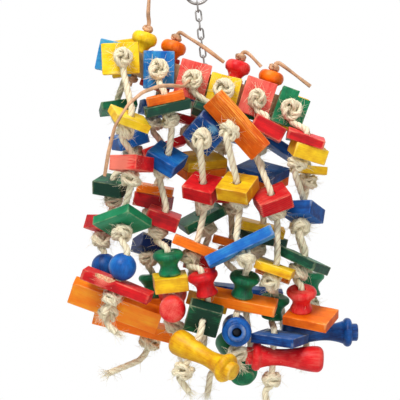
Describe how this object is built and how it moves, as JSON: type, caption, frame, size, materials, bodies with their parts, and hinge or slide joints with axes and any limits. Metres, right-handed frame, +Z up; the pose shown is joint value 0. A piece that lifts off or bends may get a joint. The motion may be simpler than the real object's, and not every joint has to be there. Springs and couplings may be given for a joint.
{
  "type": "hanging wooden chew toy for parrots",
  "caption": "Hanging bird toy: stained wooden blocks, spools and spindles on knotted sisal ropes below a sloping board on a chain.",
  "frame": {"origin": "point where the hang ring bears on its hook: the top of the ring's inner circle", "axes": "+Z up, +X to the right along the ropes' front row, -Y towards a viewer of the front; the board slopes down towards +X"},
  "size_m": [0.2813, 0.1494, 0.4101],
  "materials": {
    "stain_red": "satin",
    "stain_blue": "satin",
    "stain_yellow": "satin",
    "stain_green": "satin",
    "stain_orange": "satin",
    "pine": "matte",
    "sisal": "matte",
    "hide": "matte",
    "steel": "satin"
  },
  "bodies": {
    "root": {"hang_ring": "steel", "chain": "steel", "screw_eye": "steel", "top_board": "pine", "bead_yellow": "stain_yellow", "beads_orange": "stain_orange", "bead_red": "stain_red", "string_1": "hide", "string_2": "hide", "string_3": "hide", "string_4": "hide", "string_knots": "hide", "leather_strip": "hide", "rope_front_1": "sisal", "rope_front_2": "sisal", "rope_front_3": "sisal", "rope_front_4": "sisal", "rope_front_5": "sisal", "rope_front_6": "sisal", "rope_back_1": "sisal", "rope_back_2": "sisal", "rope_back_3": "sisal", "rope_back_4": "sisal", "rope_back_5": "sisal", "rope_back_6": "sisal", "knots_top": "sisal", "knots_front": "sisal", "knots_back": "sisal", "plates_red": "stain_red", "plates_blue": "stain_blue", "plates_yellow": "stain_yellow", "plates_green": "stain_green", "plates_orange": "stain_orange", "wide_red": "stain_red", "wide_blue": "stain_blue", "wide_yellow": "stain_yellow", "wide_green": "stain_green", "wide_orange": "stain_orange", "blocks_red": "stain_red", "blocks_blue": "stain_blue", "blocks_yellow": "stain_yellow", "blocks_green": "stain_green", "planks_red": "stain_red", "planks_blue": "stain_blue", "planks_orange": "stain_orange", "balls_blue": "stain_blue", "spools_red": "stain_red", "spools_green": "stain_green", "spindle_yellow": "stain_yellow", "spindles_blue": "stain_blue", "spindle_red": "stain_red", "spindle_green": "stain_green"}
  },
  "joints": []
}
